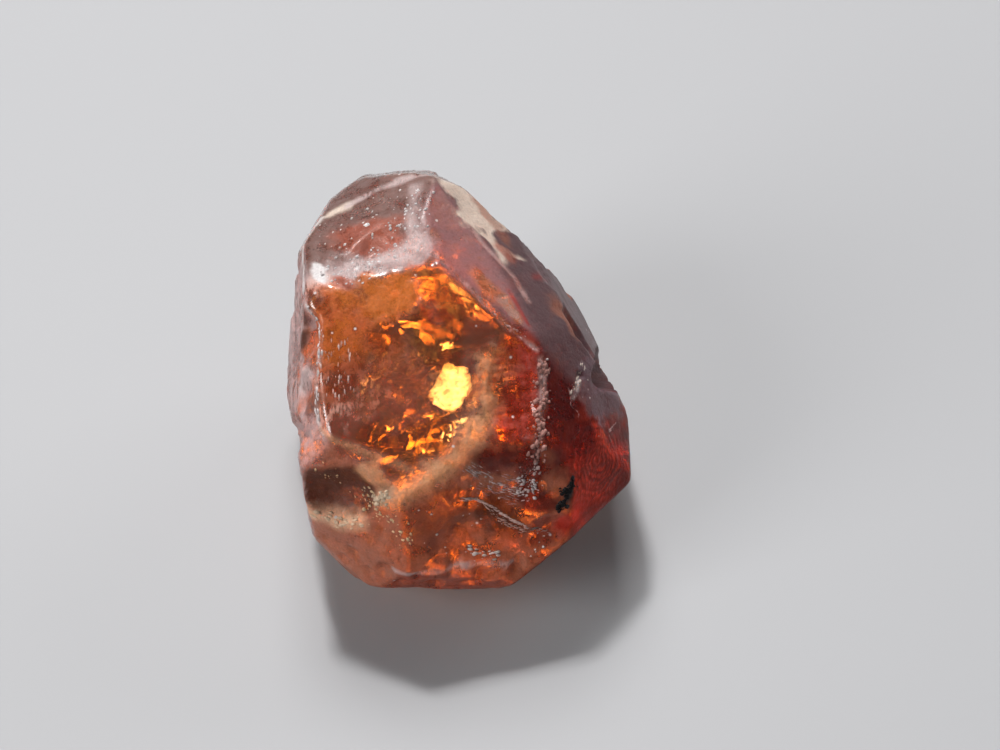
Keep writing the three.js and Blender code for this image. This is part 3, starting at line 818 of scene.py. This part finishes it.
# The cracks, then the swarms of flecks, which stray at random about their sheets.
def buildFeathers():
    surfaces = []
    for order, feather in enumerate(feathers.values()):
        surfaces.append(featherSurface(order, *feather, crack["rings"], crack["spokes"]))
    for middle, compass, lean, halfLength, halfWidth, turn, count, dull in swarms.values():
        axes = turnedAxes(direction(compass, 90 - lean), turn)
        for order in range(count):
            stray = dice.normal(size=3) * (halfLength, halfWidth, fleck["thickness"]) * fleck["spread"]
            size = fleck["size"] * (fleck["least"] + dice.random() ** 2 * fleck["more"])
            towards = compass + dice.normal() * fleck["turn"]
            tip = lean + dice.normal() * fleck["lean"]
            lie = dice.random() * 180
            shape = (stray @ axes + middle, towards, tip, size * fleck["stretch"], size, lie)
            shape += (fleck["waves"], dull, fleck["rings"], fleck["spokes"])
            surfaces.append(featherSurface(order, *shape))
    allPoints, allCorners, away, dull = zip(*surfaces)
    starts = np.cumsum([0] + [len(points) for points in allPoints])
    corners = np.concatenate([part + start for part, start in zip(allCorners, starts)])
    points = np.concatenate(allPoints) + crystal["middle"]
    return makePiece("feathers", points * mm, corners, away=np.concatenate(away), dull=np.concatenate(dull))


def addNode(tree, kind, settings=None, **inputs):
    node = tree.nodes.new("ShaderNode" + kind)
    for name, value in (settings or {}).items():
        setattr(node, name, value)
    plugAll(tree, node, inputs)
    return node


def plug(tree, socket, value):
    if isinstance(value, bpy.types.NodeSocket):
        tree.links.new(value, socket)
    else:
        socket.default_value = value


def plugAll(tree, node, values):
    for name, value in values.items():
        plug(tree, node.inputs[name], value)


def newMaterial(name):
    material = bpy.data.materials.new(name)
    material.use_nodes = True
    return material, material.node_tree, material.node_tree.nodes["Principled BSDF"]


def attribute(tree, name, output="Fac"):
    return addNode(tree, "Attribute", {"attribute_name": name}).outputs[output]


# Object coordinates in millimetres.
def placeInMillimetres(tree):
    place = addNode(tree, "TexCoord").outputs["Object"]
    return addNode(tree, "Mapping", Vector=place, Scale=(1 / mm,) * 3).outputs["Vector"]


def mapped(tree, value, low, high, least=0, most=1):
    names = {"Value": value, "From Min": low, "From Max": high, "To Min": least, "To Max": most}
    return addNode(tree, "MapRange", **names).outputs["Result"]


def sums(tree, operation, a, b, kind="Math"):
    node = addNode(tree, kind, {"operation": operation})
    plug(tree, node.inputs[0], a)
    plug(tree, node.inputs[1], b)
    return node.outputs[0]


def bumped(tree, height, distance):
    return addNode(tree, "Bump", Height=height, Distance=distance, Strength=1).outputs["Normal"]


def mixed(tree, share, a, b):
    return addNode(tree, "Mix", Factor=share, A=a, B=b).outputs["Result"]


def blended(tree, share, a, b, kind="MIX"):
    node = addNode(tree, "Mix", {"data_type": "RGBA", "blend_type": kind})
    for socket, value in zip((node.inputs[0], node.inputs[6], node.inputs[7]), (share, a, b)):
        plug(tree, socket, value)
    return node.outputs[2]


# Noise with lumps of a size in millimetres along each axis, and a mask from Least to Most where the noise is
# from Low to High.
def speckleGroup():
    group = bpy.data.node_groups.new("speckles", "ShaderNodeTree")
    size = group.interface.new_socket("Size", in_out="INPUT", socket_type="NodeSocketVector")
    size.default_value = (1, 1, 1)
    standard = {"Detail": 3, "Roughness": 0.6, "Low": 0, "High": 1, "Least": 0, "Most": 1}
    for name, value in standard.items():
        group.interface.new_socket(name, in_out="INPUT", socket_type="NodeSocketFloat").default_value = value
    for name in ("Noise", "Mask"):
        group.interface.new_socket(name, in_out="OUTPUT", socket_type="NodeSocketFloat")
    given = group.nodes.new("NodeGroupInput").outputs
    lumps = sums(group, "DIVIDE", placeInMillimetres(group), given["Size"], "VectorMath")
    fineness = {"Detail": given["Detail"], "Roughness": given["Roughness"]}
    speckle = addNode(group, "TexNoise", Vector=lumps, Scale=1, **fineness).outputs["Fac"]
    mask = mapped(group, speckle, given["Low"], given["High"], given["Least"], given["Most"])
    plugAll(group, group.nodes.new("NodeGroupOutput"), {"Noise": speckle, "Mask": mask})
    return group


speckles = speckleGroup()


def speckled(tree, values):
    inputs = {**values, "Size": tuple(np.broadcast_to(values["Size"], 3))}
    return addNode(tree, "Group", {"node_tree": speckles}, **inputs).outputs


zirconLook = {
    "transmission": 0.94,
    "ior": 1.95,
    "absorb": (0.975, 0.72, 0.2, 1),
    "density": 360,  # how strongly the stone absorbs, per metre
    "mottle": {"Size": 0.7, "Detail": 4, "Low": 0.45, "High": 0.7},
    "mottleColour": (0.85, 0.62, 0.5, 1),
    "grain": {"Size": 0.07, "Low": 0.3, "High": 0.7, "Least": 0.7, "Most": 1.3},
    "grainHeight": 0.00002,
}


def zirconMaterial():
    look = zirconLook
    material, tree, shader = newMaterial("zircon")
    tint, rough = attribute(tree, "tint", "Color"), attribute(tree, "rough")
    mottle, grain = speckled(tree, look["mottle"]), speckled(tree, look["grain"])
    height = sums(tree, "MULTIPLY", grain["Noise"], rough)
    plugAll(tree, shader, {
        "Base Color": blended(tree, mottle["Mask"], tint, look["mottleColour"], "MULTIPLY"),
        "Roughness": sums(tree, "MULTIPLY", rough, grain["Mask"]),
        "Transmission Weight": look["transmission"],
        "IOR": look["ior"],
        "Normal": bumped(tree, height, look["grainHeight"]),
    })
    absorb = addNode(tree, "VolumeAbsorption", Color=look["absorb"], Density=look["density"])
    plug(tree, tree.nodes["Material Output"].inputs["Volume"], absorb.outputs[0])
    return material


skinLook = {
    "patches": {"Size": 0.3, "Detail": 6, "Roughness": 0.65, "Low": 0.36, "High": 0.64},
    "streaks": {"Size": (0.07, 0.21, 0.6), "Low": 0.35, "High": 0.65},
    "specks": {"Size": 0.05, "Detail": 2, "Low": 0.3, "High": 0.7, "Least": 0.85, "Most": 1.15},
    "softness": 0.2,  # how gradually a patch of skin begins
    "chalk": 0.5,  # how much whiter the streaks are
    "dustStep": 0.45,  # distance from one speck of dust to the next
    "dustSize": 0.1,  # a speck's radius as a share of that
    "dustCore": 0.06,  # and its solid middle's
    "dustShare": 0.35,  # share of the specks that are there
    "dustCover": 0.02,  # least skin that dust lies on
    "dustColour": (0.9, 0.8, 0.78, 1),
    "roughness": 0.33,
    "transmission": 0.35,
    "ior": 1.32,
    "grainHeight": 0.00002,
}


# Round specks of dust: near the point of a cell, in a share of the cells, where there is skin.
def dustMask(tree, cover):
    look = skinLook
    dust = addNode(tree, "TexVoronoi", Vector=placeInMillimetres(tree), Scale=1 / look["dustStep"])
    near = mapped(tree, dust.outputs["Distance"], look["dustSize"], look["dustCore"])
    chance = addNode(tree, "SeparateColor", Color=dust.outputs["Color"]).outputs["Red"]
    dusty = sums(tree, "MULTIPLY", near, sums(tree, "LESS_THAN", chance, look["dustShare"]))
    return sums(tree, "MULTIPLY", dusty, sums(tree, "GREATER_THAN", cover, look["dustCover"]))


# The skin's alpha is its cover. Where it is patchy, that share of the places is covered instead.
def skinMaterial():
    look = skinLook
    material, tree, shader = newMaterial("worn skin and painted light")
    cover, patchy = attribute(tree, "cover"), attribute(tree, "patchy")
    patches, streaks = speckled(tree, look["patches"])["Mask"], speckled(tree, look["streaks"])["Mask"]
    streaky = sums(tree, "MULTIPLY", patchy, patchy)
    uneven = mixed(tree, streaky, patches, streaks)
    over = sums(tree, "SUBTRACT", sums(tree, "ADD", uneven, cover), 1)
    chosen = mixed(tree, patchy, cover, mapped(tree, over, -look["softness"], look["softness"]))
    dusty = dustMask(tree, cover)
    chalky = sums(tree, "MULTIPLY", sums(tree, "MULTIPLY", patches, streaky), look["chalk"])
    pale = sums(tree, "MAXIMUM", sums(tree, "MULTIPLY", chalky, cover), dusty)
    colour = blended(tree, pale, attribute(tree, "skin", "Color"), look["dustColour"])
    shade = speckled(tree, look["specks"])["Mask"]
    plugAll(tree, shader, {
        "Base Color": blended(tree, 1, colour, shade, "MULTIPLY"),
        "Alpha": sums(tree, "MAXIMUM", chosen, dusty),
        "Roughness": look["roughness"],
        "Transmission Weight": look["transmission"],
        "IOR": look["ior"],
        "Normal": bumped(tree, uneven, look["grainHeight"]),
    })
    return material


featherLook = {
    "colour": (1, 0.94, 0.86, 1),
    "dullColour": (1, 0.5, 0.22, 1),
    "roughness": 0.07,
    "dullness": 0.28,  # the roughness of the dullest
    "streaks": {"Size": 0.12, "Detail": 4, "Low": 0.35, "High": 0.6, "Least": 0.25, "Most": 1},
    "thins": 0.6,  # share of the way out at which a crack begins to thin
    "middle": 0.95,  # its alpha inside of that
    "rim": 0.1,
}


def featherMaterial():
    look = featherLook
    material, tree, shader = newMaterial("feather cracks")
    inner = mapped(tree, attribute(tree, "away"), look["thins"], 1, look["middle"], look["rim"])
    dull = attribute(tree, "dull")
    plugAll(tree, shader, {
        "Base Color": blended(tree, dull, look["colour"], look["dullColour"]),
        "Alpha": sums(tree, "MULTIPLY", inner, speckled(tree, look["streaks"])["Mask"]),
        "Metallic": 1,
        "Roughness": mapped(tree, dull, 0, 1, look["roughness"], look["dullness"]),
    })
    return material


studio = {
    "floorColour": (0.42, 0.42, 0.43, 1),
    "floorRoughness": 0.6,
    "floorDepth": 0.03,
    "floorSize": 1200,
    "worldColour": (0.9, 0.92, 1, 1),
    "worldStrength": 0.07,
    "backdrop": 0.62,  # its strength behind the floor
}
# compass, tilt and distance from the crystal, size, power in watts
lamps = {
    "backKey": (110, 63, 280, 30, 0.45),
    "backPanel": (100, 56, 290, 120, 0.42),
    "sidePanel": (38, 30, 300, 150, 0.16),
    "leftPanel": (-150, 30, 300, 150, 0.5),
}
view = {"elevation": 48, "distance": 60, "lens": 90, "right": 1.032, "up": 0.168}


def areaLight(name, compass, tilt, distance, size, power):
    light = bpy.data.lights.new(name, "AREA")
    light.size = size * mm
    light.energy = power
    lamp = newObject(name, light)
    lamp.location = Vector(direction(compass, tilt)) * distance * mm
    lamp.rotation_euler = (-lamp.location).to_track_quat("-Z", "Y").to_euler()


def buildStudio():
    half, low = studio["floorSize"] / 2 * mm, -studio["floorDepth"] * mm
    corners = [(-half, -half, low), (half, -half, low), (half, half, low), (-half, half, low)]
    floor = makePiece("floor", corners, [(0, 1, 2, 3)])
    material, tree, shader = newMaterial("floor")
    plugAll(tree, shader, {"Base Color": studio["floorColour"], "Roughness": studio["floorRoughness"]})
    floor.data.materials.append(material)
    for name, lamp in lamps.items():
        areaLight(name, *lamp)
    world = bpy.data.worlds.new("studio")
    world.use_nodes = True
    tree = world.node_tree
    seen = addNode(tree, "LightPath").outputs["Is Camera Ray"]
    strength = mapped(tree, seen, 0, 1, studio["worldStrength"], studio["backdrop"])
    plugAll(tree, tree.nodes["Background"], {"Color": studio["worldColour"], "Strength": strength})
    bpy.context.scene.world = world


def buildCamera():
    tilt = radians(view["elevation"])
    right, up, back = Vector((1, 0, 0)), Vector((0, sin(tilt), cos(tilt))), Vector((0, -cos(tilt), sin(tilt)))
    data = bpy.data.cameras.new("camera")
    data.lens = view["lens"]
    data.clip_start = 1 * mm
    camera = newObject("camera", data)
    place = Vector(crystal["middle"]) + right * view["right"] + up * view["up"] + back * view["distance"]
    camera.matrix_world = Matrix.Translation(place * mm) @ Matrix((right, up, back)).transposed().to_4x4()
    bpy.context.scene.camera = camera


buildCamera()
buildStudio()
print("studio ready")

zircon, wornSkinAndPaintedLight, surfaceRays, surfaceReach = buildCrystal()
zircon.data.materials.append(zirconMaterial())
wornSkinAndPaintedLight.data.materials.append(skinMaterial())
print("crystal ready:", len(zircon.data.polygons), "squares")

featherCracks = buildFeathers()
featherCracks.data.materials.append(featherMaterial())
print("feather cracks ready:", len(featherCracks.data.polygons), "triangles")

crumbsAndGlints = buildCrumbs(surfaceRays, surfaceReach)
crumbsAndGlints.data.materials.append(wornSkinAndPaintedLight.data.materials[0])
print("crumbs ready:", len(crumbsAndGlints.data.polygons), "triangles")

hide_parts("zircon_crystal")
for piece in (zircon, wornSkinAndPaintedLight, featherCracks, crumbsAndGlints):
    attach(piece, "root")

scene = bpy.context.scene
scene.view_settings.view_transform = "Standard"
scene.cycles.max_bounces = 24
scene.cycles.transmission_bounces = 20
scene.cycles.glossy_bounces = 12
scene.cycles.transparent_max_bounces = 16
